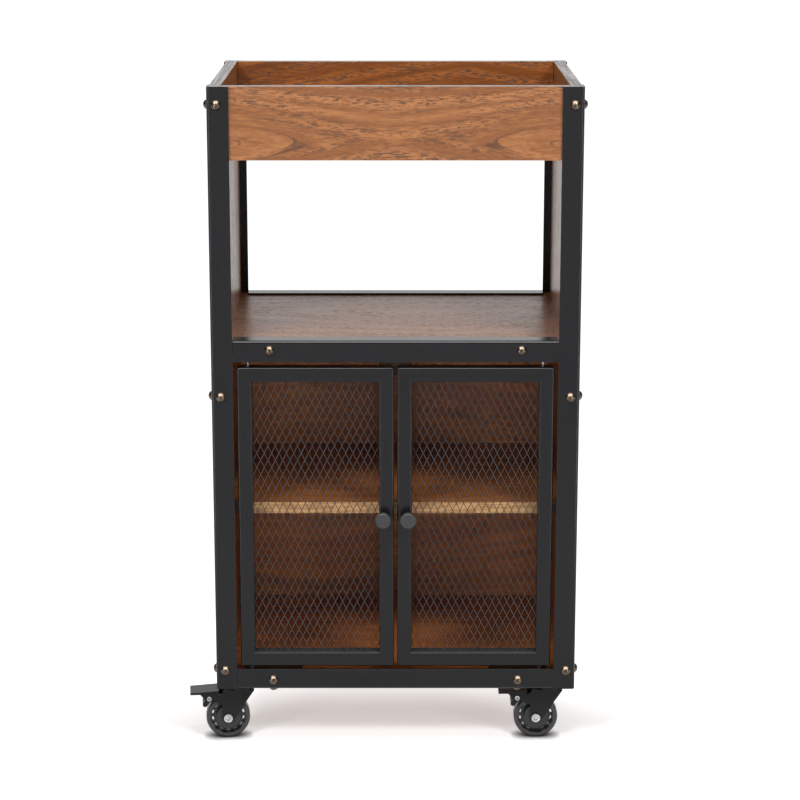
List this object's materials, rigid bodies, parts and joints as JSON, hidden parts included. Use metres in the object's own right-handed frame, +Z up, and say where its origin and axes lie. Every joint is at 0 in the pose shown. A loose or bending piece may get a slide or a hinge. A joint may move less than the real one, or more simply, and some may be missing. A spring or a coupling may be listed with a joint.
{
  "type": "rolling storage cart",
  "caption": "Rolling wooden cart with an open top tray, an open middle shelf and a cabinet with hinged mesh doors, in a dark angle-steel frame on swivel casters.",
  "frame": {"origin": "on the floor, under the centre of the frame's four corner legs", "axes": "+X to the right seen from the door side, -Y out of the door side, +Z up"},
  "size_m": [0.5571, 0.402, 0.94],
  "materials": {
    "black_steel": "satin black powder coat",
    "mesh_steel": "satin black powder coat on expanded metal",
    "brown_board": "satin brown wood grain laminate",
    "inner_board": "satin brown wood grain laminate with a pale front edge",
    "bronze_bolt": "antique bronze plating",
    "dowel_wood": "raw beech",
    "bright_zinc": "bright zinc plating",
    "knob_black": "satin dark grey",
    "catch_plastic": "moulded brown plastic",
    "magnet_steel": "plain steel pole pieces",
    "caster_steel": "black coated pressed steel",
    "wheel_plastic": "black moulded plastic",
    "tyre_black": "smooth black tread"
  },
  "bodies": {
    "cart_frame": {"leg_front_left": "black_steel", "leg_front_right": "black_steel", "leg_rear_left": "black_steel", "leg_rear_right": "black_steel", "side_panel_left": "brown_board", "side_panel_right": "brown_board", "tray_front_board": "brown_board", "tray_back_board": "brown_board", "tray_floor": "brown_board", "shelf_board": "brown_board", "bottom_board": "brown_board", "back_panel": "brown_board", "inner_shelf": "inner_board", "shelf_rail_front": "black_steel", "shelf_rail_rear": "black_steel", "lower_rail_front": "black_steel", "lower_rail_rear": "black_steel", "leg_edge_bolts": "bronze_bolt", "leg_face_bolts": "bronze_bolt", "rail_bolts": "bronze_bolt", "floor_bolts": "bronze_bolt", "dowels": "dowel_wood", "shelf_pins": "bright_zinc", "caster_screws": "bright_zinc", "hinge_brackets_lower": "black_steel", "hinge_brackets_upper": "black_steel", "pivot_pins_lower": "bright_zinc", "pivot_pins_upper": "bright_zinc", "door_catch": "catch_plastic", "catch_magnets": "magnet_steel", "caster_plates": "caster_steel", "caster_kingpins": "caster_steel"},
    "door_left": {"door_frame_left": "black_steel", "door_mesh_left": "mesh_steel", "door_knob_left": "knob_black", "knob_screw_left": "bright_zinc"},
    "door_right": {"door_frame_right": "black_steel", "door_mesh_right": "mesh_steel", "door_knob_right": "knob_black", "knob_screw_right": "bright_zinc"},
    "swivel_front_left": {"caster_front_left_fork": "caster_steel", "caster_front_left_axle": "bright_zinc", "caster_front_left_brake_rivet": "bright_zinc"},
    "wheel_front_left": {"caster_front_left_hub": "wheel_plastic", "caster_front_left_tyre": "tyre_black"},
    "brake_front_left": {"caster_front_left_brake_pedal": "caster_steel"},
    "swivel_front_right": {"caster_front_right_fork": "caster_steel", "caster_front_right_axle": "bright_zinc", "caster_front_right_brake_rivet": "bright_zinc"},
    "wheel_front_right": {"caster_front_right_hub": "wheel_plastic", "caster_front_right_tyre": "tyre_black"},
    "brake_front_right": {"caster_front_right_brake_pedal": "caster_steel"},
    "swivel_rear_left": {"caster_rear_left_fork": "caster_steel", "caster_rear_left_axle": "bright_zinc"},
    "wheel_rear_left": {"caster_rear_left_hub": "wheel_plastic", "caster_rear_left_tyre": "tyre_black"},
    "swivel_rear_right": {"caster_rear_right_fork": "caster_steel", "caster_rear_right_axle": "bright_zinc"},
    "wheel_rear_right": {"caster_rear_right_hub": "wheel_plastic", "caster_rear_right_tyre": "tyre_black"}
  },
  "joints": [
    {"name": "door_left_hinge", "type": "hinge", "parent": "cart_frame", "child": "door_left", "pos_m": [-0.2045, -0.1765, 0.3351], "axis": [0, 0, -1], "range_deg": [0, 120]},
    {"name": "door_right_hinge", "type": "hinge", "parent": "cart_frame", "child": "door_right", "pos_m": [0.2045, -0.1765, 0.3351], "axis": [0, 0, 1], "range_deg": [0, 120]},
    {"name": "swivel_front_left_turn", "type": "hinge", "parent": "cart_frame", "child": "swivel_front_left", "pos_m": [-0.222, -0.15, 0.0786], "axis": [0, 0, 1], "continuous": true},
    {"name": "wheel_front_left_spin", "type": "hinge", "parent": "swivel_front_left", "child": "wheel_front_left", "pos_m": [-0.24192, -0.15174, 0.0315], "axis": [-0.0872, 0.9962, 0], "continuous": true},
    {"name": "brake_front_left_press", "type": "hinge", "parent": "swivel_front_left", "child": "brake_front_left", "pos_m": [-0.26882, -0.1541, 0.062], "axis": [0.0872, -0.9962, 0], "range_deg": [0, 21]},
    {"name": "swivel_front_right_turn", "type": "hinge", "parent": "cart_frame", "child": "swivel_front_right", "pos_m": [0.222, -0.15, 0.0786], "axis": [0, 0, 1], "continuous": true},
    {"name": "wheel_front_right_spin", "type": "hinge", "parent": "swivel_front_right", "child": "wheel_front_right", "pos_m": [0.202, -0.15, 0.0315], "axis": [0, 1, 0], "continuous": true},
    {"name": "brake_front_right_press", "type": "hinge", "parent": "swivel_front_right", "child": "brake_front_right", "pos_m": [0.175, -0.15, 0.062], "axis": [0, -1, 0], "range_deg": [0, 21]},
    {"name": "swivel_rear_left_turn", "type": "hinge", "parent": "cart_frame", "child": "swivel_rear_left", "pos_m": [-0.222, 0.15, 0.0786], "axis": [0, 0, 1], "continuous": true},
    {"name": "wheel_rear_left_spin", "type": "hinge", "parent": "swivel_rear_left", "child": "wheel_rear_left", "pos_m": [-0.242, 0.15, 0.0315], "axis": [0, 1, 0], "continuous": true},
    {"name": "swivel_rear_right_turn", "type": "hinge", "parent": "cart_frame", "child": "swivel_rear_right", "pos_m": [0.222, 0.15, 0.0786], "axis": [0, 0, 1], "continuous": true},
    {"name": "wheel_rear_right_spin", "type": "hinge", "parent": "swivel_rear_right", "child": "wheel_rear_right", "pos_m": [0.202, 0.15, 0.0315], "axis": [0, 1, 0], "continuous": true}
  ]
}
